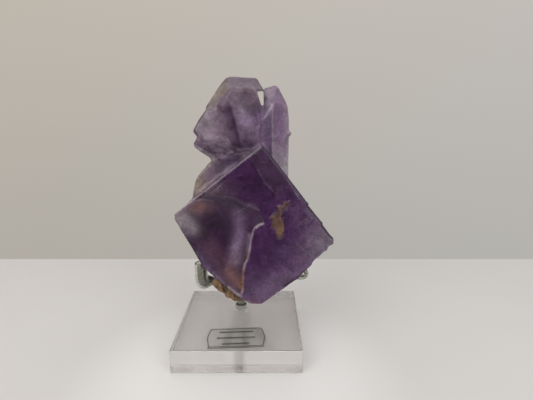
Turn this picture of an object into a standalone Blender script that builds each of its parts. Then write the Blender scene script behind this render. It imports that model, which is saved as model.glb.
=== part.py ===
"""A fluorite specimen in its wire stand: one large cube on a corner, smaller cubes grown into it above and
behind, an earthy crust under its broken lower edge, three bent wires with clear sleeves, and a clear block.

Metres, +Z up. The origin is the middle of the block's underside, and -Y is the side that is looked at.
"""

import math
import random

import bmesh
import bpy
from mathutils import Matrix, Vector, noise

MM = 0.001
GAP = 0.3 * MM  # left between pieces that touch

# Acrylic block: a square with polished edges and a hole drilled from above, behind its middle
BASE_SIDE = 50.8 * MM
BASE_HEIGHT = 9.6 * MM
BASE_BEVEL = 0.35 * MM
POST_X = -0.5 * MM
POST_Y = 12.0 * MM
HOLE_RADIUS = 2.9 * MM
HOLE_DEPTH = 5.0 * MM

# Metal of the stand
STUD_RADIUS = 1.55 * MM
POST_RADIUS = 1.9 * MM
HUB_RADIUS = 4.5 * MM
HUB_LOW = 16.0 * MM
HUB_HEIGHT = 7.0 * MM
HUB_BEVEL = 0.5 * MM
WIRE_RADIUS = 1.6 * MM
WIRE_SIDES = 14
WIRE_BEND = 3.0 * MM
ARM_HEIGHT = 19.5 * MM
ARM_START = 2.6 * MM  # from the hub's axis to the end of a wire inside it
SLEEVE_RADIUS = 2.45 * MM
SLEEVE_OVERHANG = 0.8 * MM

# Label: a clear film with two pointed ends
LABEL_LENGTH = 24.3 * MM
LABEL_DEPTH = 13.6 * MM
LABEL_POINT = 1.2 * MM
LABEL_CENTRE = (-0.6 * MM, -17.1 * MM)
LABEL_TURN = math.radians(3)
LABEL_THICKNESS = 0.2 * MM

# Main cube: its front face leans back a little and is turned so that it stands on a corner
FRONT_CENTRE = Vector((6.9, -21.5, 54.9)) * MM
FRONT_TURN = math.radians(38)
FRONT_LEAN = math.radians(4)
FRONT_YAW = math.radians(1.5)
CUBE_DEPTH = 29.0 * MM
EDGE_BEVEL = 0.5 * MM
# From the top corner past the right one, along the lower right edge, up the broken lower left side and over
# the blunt left corner, in the face's own millimetres
CUBE_OUTLINE = (
    (21.5, 22.9),
    (21.1, -20.3),
    (20.2, -21.2),
    (-8.3, -23.3),
    (-14.8, -23.1),
    (-17.7, -20.7),
    (-19.4, -17.4),
    (-22.2, -4.0),
    (-22.9, 1.8),
    (-22.2, 5.6),
    (-19.2, 22.0),
    (-18.2, 23.0),
)

# Scoop that a blow has left at the lower left of the front face
SCOOP_RADIUS = 40.0 * MM
SCOOP_DIP = 3.6 * MM
SCOOP_CENTRE = (-9.0, 2.0)
SCOOP_STRETCH = 1.3  # its length across the face to its width along it


def material(name, colour, roughness, metallic=0.0, transmission=0.0):
    """A plain material from an sRGB colour written as 0xRRGGBB."""
    made = bpy.data.materials.new(name)
    made.use_nodes = True
    channels = [(colour >> shift & 255) / 255 for shift in (16, 8, 0)]
    linear = [c / 12.92 if c < 0.04045 else ((c + 0.055) / 1.055) ** 2.4 for c in channels]
    principled = made.node_tree.nodes["Principled BSDF"]
    principled.inputs["Base Color"].default_value = (*linear, 1)
    principled.inputs["Roughness"].default_value = roughness
    principled.inputs["Metallic"].default_value = metallic
    principled.inputs["Transmission Weight"].default_value = transmission
    made.diffuse_color = (*linear, 1)
    return made


def add_object(name, bm, finish=None):
    """The object that holds this bmesh, with its normals outward. One without a finish is a helper."""
    bmesh.ops.recalc_face_normals(bm, faces=bm.faces)
    mesh = bpy.data.meshes.new(name)
    bm.to_mesh(mesh)
    bm.free()
    made = bpy.data.objects.new(name, mesh)
    bpy.context.scene.collection.objects.link(made)
    if finish:
        mesh.materials.append(finish)
    else:
        made.hide_render = True
        made.display_type = "WIRE"
    return made


def hull(name, points, finish=None):
    """The convex solid that these points span."""
    bm = bmesh.new()
    for point in points:
        bm.verts.new(point)
    result = bmesh.ops.convex_hull(bm, input=bm.verts)
    loose = {*result["geom_interior"], *result["geom_unused"]}
    spare = [item for item in loose if isinstance(item, bmesh.types.BMVert)]
    bmesh.ops.delete(bm, geom=spare, context="VERTS")
    return add_object(name, bm, finish)


def prism(name, outline, low, high, frame, finish=None):
    """A flat outline in a frame's first two directions, from low to high along its third."""
    bm = bmesh.new()
    rings = [[bm.verts.new(frame @ Vector((a, b, c))) for a, b in outline] for c in (low, high)]
    for ring in rings:
        bm.faces.new(ring)
    for i in range(len(outline)):
        j = (i + 1) % len(outline)
        bm.faces.new((rings[0][i], rings[0][j], rings[1][j], rings[1][i]))
    return add_object(name, bm, finish)


def turned(name, profile, centre, sides, finish=None):
    """A solid turned about a vertical axis: its profile gives (radius, height), from top to bottom."""
    bm = bmesh.new()
    rings = []
    for radius, height in profile:
        angles = [2 * math.pi * k / sides for k in range(sides)]
        rings.append(
            [
                bm.verts.new((centre[0] + radius * math.cos(t), centre[1] + radius * math.sin(t), height))
                for t in angles
            ]
        )
    for upper, lower in zip(rings, rings[1:]):
        for i in range(sides):
            j = (i + 1) % sides
            bm.faces.new((upper[i], upper[j], lower[j], lower[i]))
    bm.faces.new(rings[0])
    bm.faces.new(rings[-1])
    return add_object(name, bm, finish)


def rounded_path(corners, bend, steps=5):
    """The points of a wire that runs straight between corners and turns each inner one on an arc."""
    path = [corners[0]]
    for before, corner, after in zip(corners, corners[1:], corners[2:]):
        back, on = (before - corner).normalized(), (after - corner).normalized()
        half = back.angle(on) / 2
        reach = min(bend / math.tan(half), 0.45 * min((before - corner).length, (after - corner).length))
        radius = reach * math.tan(half)
        centre = corner + (back + on).normalized() * math.hypot(reach, radius)
        first, last = corner + back * reach - centre, corner + on * reach - centre
        path += [centre + first.slerp(last, k / steps).normalized() * radius for k in range(steps + 1)]
    return [*path, corners[-1]]


def swept(name, path, outer, inner, finish):
    """A round wire along a path, or a tube where it has an inner radius."""
    bm = bmesh.new()
    ahead = (path[1] - path[0]).normalized()
    across = ahead.orthogonal().normalized()
    skins = {radius: [] for radius in (outer, inner) if radius}
    for i, point in enumerate(path):
        near, far = path[max(i - 1, 0)], path[min(i + 1, len(path) - 1)]
        ahead = (far - near).normalized()
        across = (across - across.project(ahead)).normalized()
        side = ahead.cross(across)
        for radius, rings in skins.items():
            angles = [2 * math.pi * k / WIRE_SIDES for k in range(WIRE_SIDES)]
            rings.append(
                [bm.verts.new(point + (across * math.cos(t) + side * math.sin(t)) * radius) for t in angles]
            )
    for rings in skins.values():
        for one, two in zip(rings, rings[1:]):
            for i in range(WIRE_SIDES):
                j = (i + 1) % WIRE_SIDES
                bm.faces.new((one[i], one[j], two[j], two[i]))
    for end in (0, -1):
        if not inner:
            bm.faces.new(skins[outer][end])
            continue
        for i in range(WIRE_SIDES):
            j = (i + 1) % WIRE_SIDES
            out, into = skins[outer][end], skins[inner][end]
            bm.faces.new((out[i], out[j], into[j], into[i]))
    return add_object(name, bm, finish)


def collect(name, members):
    """A collection of helpers for one Boolean."""
    made = bpy.data.collections.new(name)
    bpy.context.scene.collection.children.link(made)
    for member in members:
        bpy.context.scene.collection.objects.unlink(member)
        made.objects.link(member)
    return made


def boolean(target, operation, operand):
    modifier = target.modifiers.new(operation.lower(), "BOOLEAN")
    modifier.operation = operation
    modifier.solver = "EXACT"
    if isinstance(operand, bpy.types.Collection):
        modifier.operand_type = "COLLECTION"
        modifier.collection = operand
    else:
        modifier.object = operand


def front_frame():
    """From the main cube's own millimetres to the world: along its upper left edge, across it, and out."""
    out = Vector(
        (
            math.sin(FRONT_YAW) * math.cos(FRONT_LEAN),
            -math.cos(FRONT_YAW) * math.cos(FRONT_LEAN),
            math.sin(FRONT_LEAN),
        )
    )
    right = Vector((math.cos(FRONT_YAW), math.sin(FRONT_YAW), 0))
    up = out.cross(right)
    along = right * math.cos(FRONT_TURN) + up * math.sin(FRONT_TURN)
    across = up * math.cos(FRONT_TURN) - right * math.sin(FRONT_TURN)
    turn = Matrix((along, across, out)).transposed().to_4x4()
    return Matrix.Translation(FRONT_CENTRE) @ turn @ Matrix.Scale(MM, 4)


def acrylic_base():
    """The block, with a bevel on each edge and a blind hole for the post."""
    bm = bmesh.new()
    bmesh.ops.create_cube(bm, size=1)
    bmesh.ops.scale(bm, vec=(BASE_SIDE, BASE_SIDE, BASE_HEIGHT), verts=bm.verts)
    bmesh.ops.translate(bm, vec=(0, 0, BASE_HEIGHT / 2), verts=bm.verts)
    bmesh.ops.bevel(bm, geom=bm.edges, offset=BASE_BEVEL, segments=2, affect="EDGES", profile=0.5)
    base = add_object("acrylic_base", bm, material("acrylic", 0xE8ECEC, 0.04, transmission=1))
    profile = [(HOLE_RADIUS, BASE_HEIGHT + 1 * MM), (HOLE_RADIUS, BASE_HEIGHT - HOLE_DEPTH)]
    boolean(base, "DIFFERENCE", turned("hole", profile, (POST_X, POST_Y), 32))


def post_and_insert():
    """The metal sleeve in the hole, and the post that stands in it on its shoulder."""
    steel = material("post_steel", 0x8E8D88, 0.3, metallic=1)
    centre = (POST_X, POST_Y)
    low = BASE_HEIGHT - HOLE_DEPTH + GAP
    insert_radius = HOLE_RADIUS - GAP
    insert = turned(
        "post_insert",
        [(insert_radius, BASE_HEIGHT), (insert_radius, low)],
        centre,
        32,
        material("insert_steel", 0x9A9994, 0.35, metallic=1),
    )
    bore = STUD_RADIUS + GAP
    boolean(
        insert,
        "DIFFERENCE",
        turned("insert_bore", [(bore, BASE_HEIGHT + 1 * MM), (bore, low - 1 * MM)], centre, 24),
    )
    shoulder = BASE_HEIGHT + GAP
    top = HUB_LOW + HUB_HEIGHT - 2 * MM
    profile = [(POST_RADIUS, top), (POST_RADIUS, shoulder), (STUD_RADIUS, shoulder), (STUD_RADIUS, low)]
    turned("post", profile, centre, 24, steel)


def hub(directions):
    """The collar on the post: a blind bore from below, and a socket for each wire."""
    centre = (POST_X, POST_Y)
    top = HUB_LOW + HUB_HEIGHT
    side = HUB_RADIUS - HUB_BEVEL
    profile = [
        (side, top),
        (HUB_RADIUS, top - HUB_BEVEL),
        (HUB_RADIUS, HUB_LOW + HUB_BEVEL),
        (side, HUB_LOW),
    ]
    made = turned("hub", profile, centre, 32, material("hub_steel", 0x8A8984, 0.3, metallic=1))
    bore = POST_RADIUS + GAP
    cutters = [turned("hub_bore", [(bore, top - 2 * MM + GAP), (bore, HUB_LOW - 1 * MM)], centre, 24)]
    for direction in directions:
        start = Vector((POST_X, POST_Y, ARM_HEIGHT)) + direction * (ARM_START - GAP)
        path = [start, start + direction * HUB_RADIUS]
        cutter = swept("socket", path, WIRE_RADIUS + GAP, 0, None)
        cutters.append(cutter)
    boolean(made, "DIFFERENCE", collect("hub_cutters", cutters))


def arm(side, corners, sleeve_length):
    """One bent wire from its socket to its tip, and the clear sleeve on its last stretch."""
    path = rounded_path(corners, WIRE_BEND)
    swept(f"arm_{side}", path, WIRE_RADIUS, 0, material(f"wire_{side}", 0x8E8D88, 0.25, metallic=1))
    tip = (path[-1] - path[-2]).normalized() * SLEEVE_OVERHANG
    stretch = [path[-1] + tip]
    covered = 0
    for point in reversed(path):
        covered += (point - stretch[-1]).length
        if covered > sleeve_length:
            step = point - stretch[-1]
            stretch.append(stretch[-1] + step.normalized() * (step.length - covered + sleeve_length))
            break
        stretch.append(point)
    vinyl = material(f"sleeve_{side}", 0xD8D8D2, 0.3, transmission=0.9)
    swept(f"sleeve_{side}", stretch, SLEEVE_RADIUS, WIRE_RADIUS + GAP, vinyl)


def stand_arms():
    """The three wires: left with an upright finger, right below the lower right face, and back."""
    hub_centre = Vector((POST_X, POST_Y, ARM_HEIGHT))
    routes = {
        "left": [(-4.4, 4.6, 19.5), (-11.4, -9.5, 31.4), (-13.7, -15.0, 31.9), (-13.8, -15.1, 40.0)],
        "right": [(4.5, 7.1, 19.5), (8.4, 3.3, 21.6), (23.9, -8.2, 33.3), (25.4, -14.6, 36.3)],
        "back": [(-0.5, 18.6, 19.5), (0.6, 18.6, 31.0), (1.8, 11.4, 38.5), (2.2, 11.0, 47.5)],
    }
    sleeve_lengths = {"left": 12.5 * MM, "right": 6.5 * MM, "back": 9.5 * MM}
    directions = []
    for side, route in routes.items():
        corners = [Vector(point) * MM for point in route]
        level = (corners[0] - hub_centre) * Vector((1, 1, 0))
        directions.append(level.normalized())
        start = hub_centre + directions[-1] * ARM_START
        arm(side, [start, *corners], sleeve_lengths[side])
    return directions


def label():
    """The film, a straight-sided plate with a blunt point at each end."""
    half, end, deep = LABEL_LENGTH / 2, LABEL_LENGTH / 2 - LABEL_POINT, LABEL_DEPTH / 2
    outline = [(-half, 0), (-end, -deep), (end, -deep), (half, 0), (end, deep), (-end, deep)]
    frame = Matrix.Translation((*LABEL_CENTRE, BASE_HEIGHT)) @ Matrix.Rotation(LABEL_TURN, 4, "Z")
    film = material("label_film", 0xC9C8C2, 0.35, transmission=0.6)
    prism("label", outline, GAP, GAP + LABEL_THICKNESS, frame, film)


def main_cube(frame, finish):
    """The large cube, bevelled at its front edges and smaller towards its broken back."""
    depth = CUBE_DEPTH / MM
    bevel = EDGE_BEVEL / MM
    points = []
    for u, v in CUBE_OUTLINE:
        points += [(u, v, -bevel), (u - math.copysign(bevel, u), v - math.copysign(bevel, v), 0)]
        points += [(u * 0.99, v * 0.99, -depth * 0.8), (u * 0.86, v * 0.8 + 2, -depth)]
    return hull("fluorite", [frame @ Vector(point) for point in points], finish)


def face_place(first, second, out, origin):
    """A frame on one face of the cube, from its own first two directions and the way out."""
    return Matrix.Translation(origin) @ Matrix((first, second, out)).transposed().to_4x4()


def terraces(frame):
    """Growth steps on the cube: thin plates, each parallel to the face that it has grown on, and the two
    patches of iron crust on the front."""
    top, right = CUBE_OUTLINE[0], CUBE_OUTLINE[1]
    rim = [(16.4, 22.0), (16.4, 15.0), (15.2, 4.7), (14.0, 1.9), (15.7, -8.3), (19.6, -9.4), (20.8, 22.2)]
    low_step = [(2.6, 9.0), (6.3, 8.4), (7.6, 6.6), (15.4, 5.5), (16.0, 17.0), (4.0, 21.0), (-4.2, 20.4)]
    crust = [(8.6, 0.6), (10.9, 1.0), (12.9, 2.3), (13.7, 2.1), (13.1, 0.3), (11.4, -1.4), (10.2, -4.1)]
    crust += [(8.2, -7.0), (6.3, -7.8), (5.9, -7.2), (6.3, -5.9), (6.7, -4.2), (6.9, -2.1)]
    small_crust = [(13.7, -0.3), (14.8, -0.2), (16.8, 1.1), (16.2, 1.8), (14.2, 1.0)]
    front = [(rim, 0.15), (low_step, 0.15), (crust, 0.55), (small_crust, 0.5)]
    made = [prism("front_step", outline, -1.0, height, frame) for outline, height in front]
    for start, rise in ((-3.8, 0.25), (-12.8, 0.5)):
        low = right[1] + 0.6
        outline = [(0, start), (top[0] + rise - 0.2, start), (right[0] + rise, low), (0, low)]
        made.append(prism("right_step", outline, 4 - CUBE_DEPTH / MM, -0.5, frame))
    places = [
        face_place((0, 1, 0), (0, 0, -1), (1, 0, 0), (21.2, 0, -2)),
        face_place((1, 0, 0), (0, 0, -1), (0, 1, 0), (0, 22.9, -2)),
        face_place((1, 0, 0), (0, 0, -1), (0, -1, 0), (0, -22.4, -2)),
        face_place((1, 0, 0), (0, 1, 0), (0, 0, -1), (0, -8, -CUBE_DEPTH / MM)),
    ]
    chance = random.Random(12)
    for place in places:
        for step in range(4):
            a, b = chance.uniform(-16, 4), chance.uniform(0, 12)
            long, wide = chance.uniform(6, 12), chance.uniform(5, 10)
            outline = [(a, b), (a + long, b), (a + long, b + wide), (a, b + wide)]
            made.append(prism("side_step", outline, -2.0, 0.13 * (step + 1), frame @ place))
    return made


def upper_crystals():
    """The cubes grown into the main one above it. Each is spanned by sections that give Y and the (X, Z)
    corners there, from front to back."""
    crystals = {
        "upper_left": [
            (-4.0, [(-17.4, 90.4), (-15.0, 94.6), (-11.7, 98.9), (-5.4, 100.2), (-0.9, 91.0), (-0.2, 84.6)]),
            (-4.0, [(-8.4, 85.6), (-15.8, 88.6)]),
            (13.0, [(-17.2, 90.8), (-11.5, 100.0), (-4.0, 102.0), (0.0, 84.0), (-14.5, 85.0)]),
        ],
        "lower_left": [
            (-5.0, [(-17.5, 85.9), (-15.6, 88.2), (-8.0, 88.6), (1.0, 84.4), (3.0, 77.0), (-3.6, 76.4)]),
            (-5.0, [(-9.3, 79.2), (-13.8, 82.1), (-17.0, 84.8)]),
            (11.0, [(-17.0, 84.6), (-12.0, 89.0), (2.0, 88.0), (4.0, 76.0), (-8.0, 78.5)]),
        ],
        "top": [
            (-6.0, [(-5.9, 100.6), (-2.2, 105.6), (6.4, 106.2), (8.6, 102.4), (9.0, 93.4), (8.4, 78.0)]),
            (-6.0, [(1.6, 78.0), (-1.8, 91.4)]),
            (4.0, [(-13.5, 99.5), (-10.1, 104.1), (-7.1, 108.6), (-4.7, 111.4), (-3.1, 111.8)]),
            (4.0, [(7.8, 111.3), (10.5, 106.6), (10.6, 94.0), (-10.0, 90.0)]),
            (17.0, [(-9.0, 97.0), (-3.0, 107.0), (6.5, 107.0), (9.0, 95.0), (8.0, 82.0), (-6.0, 82.0)]),
        ],
        "right_slab": [
            (-4.0, [(13.6, 99.3), (13.6, 62.0)]),
            (-5.5, [(8.2, 94.6), (8.0, 62.0)]),
            (5.0, [(17.3, 104.4), (18.9, 102.8), (20.5, 99.7), (21.0, 93.0), (20.9, 66.0), (18.0, 60.0)]),
            (8.0, [(10.5, 107.8), (15.9, 109.0)]),
            (15.0, [(19.0, 97.0), (18.5, 66.0), (9.5, 99.0), (14.0, 103.0), (8.0, 64.0)]),
        ],
        "middle_left": [
            (-9.0, [(-9.0, 80.7), (-11.8, 77.5), (-14.1, 75.0), (-15.9, 72.4), (-16.9, 68.4)]),
            (-9.0, [(-17.5, 64.7), (-10.0, 60.0), (4.0, 70.0), (5.4, 84.0)]),
            (8.0, [(-8.6, 78.5), (-14.6, 71.0), (-17.0, 65.0), (-8.0, 54.0), (6.0, 60.0), (6.0, 78.0)]),
        ],
    }
    made = []
    for name, sections in crystals.items():
        points = [Vector((x, y, z)) * MM for y, corners in sections for x, z in corners]
        made.append(hull(name, points))
    return made


def back_crystals():
    """Smaller cubes that stand out of the back, nearly parallel, and the spike at the right edge."""
    cubes = [
        ((-6.0, 12.0, 92.5), 12.0, (10, -30, 15)),
        ((4.5, 13.0, 100.5), 11.0, (-8, -45, -10)),
        ((9.5, 12.0, 82.0), 12.0, (12, -36, -14)),
        ((0.0, 10.0, 77.0), 17.0, (-10, -40, 8)),
        ((-4.0, 8.5, 66.0), 13.0, (8, -34, 16)),
        ((8.5, 8.0, 66.0), 14.0, (-6, -42, -8)),
        ((14.0, 5.0, 54.0), 12.0, (9, -38, 10)),
        ((-9.0, 4.5, 54.0), 11.0, (-12, -30, -6)),
        ((20.9, 4.0, 89.2), 1.9, (0, 40, 45)),
    ]
    made = []
    for centre, size, angles in cubes:
        bm = bmesh.new()
        bmesh.ops.create_cube(bm, size=size * MM)
        turn = Matrix.Rotation(math.radians(angles[0]), 4, "X")
        turn = Matrix.Rotation(math.radians(angles[1]), 4, "Y") @ turn
        turn = Matrix.Rotation(math.radians(angles[2]), 4, "Z") @ turn
        bm.transform(Matrix.Translation(Vector(centre) * MM) @ turn)
        made.append(add_object("back_cube", bm))
    return made


def scoop(frame):
    """The cutter of the broken hollow: a shallow ball cap, kept to the outline of the break."""
    along_top = [(-26.0, 26.0), (-6.9, 26.0), (-6.9, 22.5), (-4.2, 19.0), (1.6, 14.0), (2.8, 11.6)]
    tip = [(2.6, 9.7), (5.3, 8.9), (6.2, 7.6), (6.6, 5.6), (6.1, 3.0), (4.8, 0.4), (3.1, 0.9), (1.2, 0.8)]
    bright_edge = [(-0.6, 0.1), (-2.5, -1.4), (-5.1, -4.0), (-8.1, -6.6), (-9.3, -6.8), (-11.7, -8.6)]
    bright_edge += [(-17.6, -15.2), (-26.0, -19.0)]
    outline = along_top + tip + bright_edge
    radius, dip = SCOOP_RADIUS / MM, SCOOP_DIP / MM
    reach = math.acos((radius - dip - 1.5) / radius)
    rings = 9
    profile = []
    for k in range(rings, 0, -1):
        angle = reach * k / rings
        profile.append((radius * math.sin(angle), radius - dip - radius * math.cos(angle)))
    profile.append((0.4, -dip))
    ball = turned("scoop_ball", profile, (0, 0), 40)
    place = Matrix.Translation((*SCOOP_CENTRE, 0)) @ Matrix.Diagonal((1, SCOOP_STRETCH, 1, 1))
    ball.data.transform(frame @ place)
    cutter = prism("scoop", outline, -8.0, 1.2, frame)
    boolean(cutter, "INTERSECT", ball)
    return cutter


def chips(frame):
    """Cutters of the small breaks on the cube's edges and of the slit between top crystal and slab."""
    places = [
        ((17.6, -22.4, 0.4), 1.3),
        ((13.2, -23.0, 0.2), 1.0),
        ((9.0, -23.3, -0.6), 1.2),
        ((3.6, -23.6, 0.3), 1.0),
        ((21.9, -20.9, 0.0), 1.1),
        ((-6.0, 23.6, 0.4), 1.0),
        ((22.2, 8.0, 0.3), 0.8),
        ((-19.6, 22.8, -0.4), 1.4),
        ((22.4, -4.0, -9.0), 1.6),
    ]
    made = []
    for place, size in places:
        bm = bmesh.new()
        bmesh.ops.create_icosphere(bm, subdivisions=1, radius=size * MM)
        bm.transform(Matrix.Translation(frame @ Vector(place)))
        made.append(add_object("chip", bm))
    slit = [(7.5, 106.2), (10.3, 106.0), (10.4, 100.4), (9.4, 100.2)]
    upright = Matrix(((1, 0, 0, 0), (0, 0, 1, 0), (0, 1, 0, 0), (0, 0, 0, 1))) @ Matrix.Scale(MM, 4)
    made.append(prism("slit", slit, -12.0, 20.0, upright))
    return made


def fluorite(frame):
    """One solid: the main cube joined with all that has grown into it, then broken where it is broken."""
    body = main_cube(frame, material("fluorite", 0x4B3556, 0.12, transmission=0.8))
    grown = [*terraces(frame), *upper_crystals(), *back_crystals()]
    boolean(body, "UNION", collect("grown", grown))
    boolean(body, "DIFFERENCE", collect("broken", [scoop(frame), *chips(frame)]))


def matrix_crust(frame):
    """The earthy crust on the broken lower left edge: lumps joined in one, cut back to clear the cube."""
    lumps = [
        ((-23.3, -7.6, -5.0), 2.2),
        ((-22.9, -10.2, -5.5), 2.2),
        ((-22.0, -13.2, -5.5), 2.1),
        ((-20.8, -15.9, -5.5), 1.8),
        ((-19.4, -18.2, -5.5), 1.5),
        ((-22.6, -9.5, -8.7), 2.5),
        ((-21.6, -13.4, -8.7), 2.5),
        ((-20.2, -16.6, -8.2), 2.1),
    ]
    made = []
    for k, (place, size) in enumerate(lumps):
        bm = bmesh.new()
        bmesh.ops.create_icosphere(bm, subdivisions=2, radius=size * MM)
        for vert in bm.verts:
            rough = noise.noise(vert.co * 600 + Vector((k * 3.7, 0, 0)))
            vert.co *= 1 + 0.22 * rough
        bm.transform(Matrix.Translation(frame @ Vector(place)))
        finish = material("ochre_crust", 0x8A6238, 0.9) if k == 0 else None
        made.append(add_object("matrix_crust" if k == 0 else "lump", bm, finish))
    boolean(made[0], "UNION", collect("lumps", made[1:]))
    clear = 1 + GAP / (18 * MM)  # the crust lies 18 mm and more from the middle of the face
    around = [(u * clear, v * clear) for u, v in CUBE_OUTLINE]
    boolean(made[0], "DIFFERENCE", prism("crust_cutter", around, -40.0, 4.0, frame))


def main():
    for old in list(bpy.data.objects):
        bpy.data.objects.remove(old)
    frame = front_frame()
    acrylic_base()
    post_and_insert()
    hub(stand_arms())
    label()
    fluorite(frame)
    matrix_crust(frame)


main()
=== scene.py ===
"""A fluorite specimen in its bent-wire stand on a clear block, dressed for a photograph."""

import math

import bmesh
import bpy
import numpy as np
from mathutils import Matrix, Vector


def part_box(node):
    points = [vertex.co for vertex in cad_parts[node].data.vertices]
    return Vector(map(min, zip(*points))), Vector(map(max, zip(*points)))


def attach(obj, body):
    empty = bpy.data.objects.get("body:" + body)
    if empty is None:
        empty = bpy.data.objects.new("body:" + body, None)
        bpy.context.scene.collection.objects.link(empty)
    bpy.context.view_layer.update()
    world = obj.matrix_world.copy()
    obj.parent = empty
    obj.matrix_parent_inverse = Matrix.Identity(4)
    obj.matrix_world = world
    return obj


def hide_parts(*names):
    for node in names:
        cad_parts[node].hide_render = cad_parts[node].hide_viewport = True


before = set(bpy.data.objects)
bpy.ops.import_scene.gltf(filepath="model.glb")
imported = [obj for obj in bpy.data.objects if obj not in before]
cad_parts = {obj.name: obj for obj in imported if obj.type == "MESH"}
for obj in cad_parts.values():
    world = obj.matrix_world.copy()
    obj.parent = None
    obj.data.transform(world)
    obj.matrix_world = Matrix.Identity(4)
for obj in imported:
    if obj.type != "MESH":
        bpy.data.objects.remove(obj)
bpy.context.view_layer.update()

MM = 0.001

# The block: 10 mm cast acrylic, sawn square and flame polished, with a hole drilled from above for the post.
# It is clear as glass, a little duller on the drilled wall, and its only marks are hair scratches from
# handling. It stays as the frame's own solid.


def linear(colour, alpha=1.0):
    """The linear colour of an sRGB value written as 0xRRGGBB."""
    parts = [(colour >> shift & 255) / 255 for shift in (16, 8, 0)]
    return (*(c / 12.92 if c < 0.04045 else ((c + 0.055) / 1.055) ** 2.4 for c in parts), alpha)


def add(tree, kind, inputs=None, **settings):
    """Adds a node with these settings; each input, by name or number, is a value or a socket to link."""
    made = tree.nodes.new(kind)
    for key, value in settings.items():
        setattr(made, key, value)
    for key, value in (inputs or {}).items():
        if isinstance(value, bpy.types.NodeSocket):
            tree.links.new(value, made.inputs[key])
        else:
            made.inputs[key].default_value = value
    return made


def new_finish(name, **inputs):
    """A material with one Principled shader, and its node tree, shader and Object coordinates."""
    made = bpy.data.materials.new(name)
    made.use_nodes = True
    tree = made.node_tree
    shader = tree.nodes["Principled BSDF"]
    for key, value in inputs.items():
        shader.inputs[key.replace("_", " ")].default_value = value
    return made, tree, shader, add(tree, "ShaderNodeTexCoord").outputs["Object"]


acrylic, tree, shader, place = new_finish(
    "cast_acrylic", Base_Color=linear(0xFFFDFC), Transmission_Weight=0.85, IOR=1.49, Roughness=0.1
)
# Hair scratches about 0.1 mm wide and 15 mm long, drawn by a noise stretched along one direction
stretched = add(
    tree, "ShaderNodeMapping", {"Vector": place, "Rotation": (0, 0, 0.6), "Scale": (70, 4200, 900)}
)
hairs = add(tree, "ShaderNodeTexNoise", {"Vector": stretched.outputs[0], "Scale": 1.0, "Detail": 2.0})
marks = add(tree, "ShaderNodeMapRange", {0: hairs.outputs[0], 1: 0.66, 2: 0.78, 3: 0.0, 4: 0.1})
# The drill leaves its wall frosted: within 3.05 mm of the hole's axis the surface is dull
centred = add(
    tree, "ShaderNodeMapping", {"Vector": place, "Location": (0.5 * MM, -12 * MM, 0), "Scale": (1, 1, 0)}
)
reach = add(tree, "ShaderNodeVectorMath", {0: centred.outputs[0]}, operation="LENGTH")
bored = add(
    tree, "ShaderNodeMapRange", {0: reach.outputs["Value"], 1: 3.1 * MM, 2: 3.0 * MM, 3: 0.0, 4: 0.55}
)
dull = add(tree, "ShaderNodeMath", {0: marks.outputs[0], 1: bored.outputs[0]}, operation="MAXIMUM")
polish = add(tree, "ShaderNodeMath", {0: dull.outputs[0], 1: 0.12}, operation="ADD")
tree.links.new(polish.outputs[0], shader.inputs["Roughness"])
# Painted light: the upper half of the front side, and more thinly the top, are made milky so that they look
# brighter
axes = add(tree, "ShaderNodeSeparateXYZ", {0: place})
front_side = add(tree, "ShaderNodeMapRange", {0: axes.outputs[1], 1: -25.2 * MM, 2: -25.35 * MM})
upper_half = add(tree, "ShaderNodeMapRange", {0: axes.outputs[2], 1: 2.0 * MM, 2: 4.2 * MM})
milky_front = add(
    tree, "ShaderNodeMath", {0: front_side.outputs[0], 1: upper_half.outputs[0]}, operation="MULTIPLY"
)
paler_patch = add(tree, "ShaderNodeMapRange", {0: axes.outputs[2], 1: 9.5 * MM, 2: 9.6 * MM, 3: 0.0, 4: 0.2})
veil = add(tree, "ShaderNodeMath", {0: milky_front.outputs[0], 1: paler_patch.outputs[0]}, operation="MAXIMUM")
through = add(tree, "ShaderNodeMapRange", {0: veil.outputs[0], 3: 0.88, 4: 0.6})
tree.links.new(through.outputs[0], shader.inputs["Transmission Weight"])
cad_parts["acrylic_base"].data.materials.clear()
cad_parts["acrylic_base"].data.materials.append(acrylic)

# The post and its fittings: free-turned steel, a sleeve pressed in the block's hole, a rod that stands in it
# on its shoulder and a collar on top that takes the wires. Fine turning rings run round the rod and the
# collar, and handling has left them slightly dull and brown-grey.

POST = np.array((-0.5, 12.0))


def put(name, points, round_columns, material, round_rows=False):
    """A piece from a grid of points in millimetres, one face between each four neighbours. Columns, and rows
    where asked, close on themselves, points that fall together become one, and faces turn outward."""
    rows, columns = points.shape[:2]
    number = np.arange(rows * columns).reshape(rows, columns)
    if round_columns:
        number = np.concatenate([number, number[:, :1]], axis=1)
    if round_rows:
        number = np.concatenate([number, number[:1]], axis=0)
    faces = np.stack([number[:-1, :-1], number[:-1, 1:], number[1:, 1:], number[1:, :-1]], axis=-1)
    mesh = bpy.data.meshes.new(name)
    mesh.from_pydata(points.reshape(-1, 3) * MM, [], faces.reshape(-1, 4))
    bm = bmesh.new()
    bm.from_mesh(mesh)
    bmesh.ops.remove_doubles(bm, verts=bm.verts, dist=1e-6)
    bmesh.ops.recalc_face_normals(bm, faces=bm.faces)
    bm.to_mesh(mesh)
    bm.free()
    return show(name, mesh, material)


def show(name, mesh, material):
    """The object of a finished mesh, smooth-shaded, riding on the one body."""
    mesh.shade_smooth()
    mesh.materials.append(material)
    made = bpy.data.objects.new(name, mesh)
    bpy.context.scene.collection.objects.link(made)
    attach(made, "root")
    return made


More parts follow.
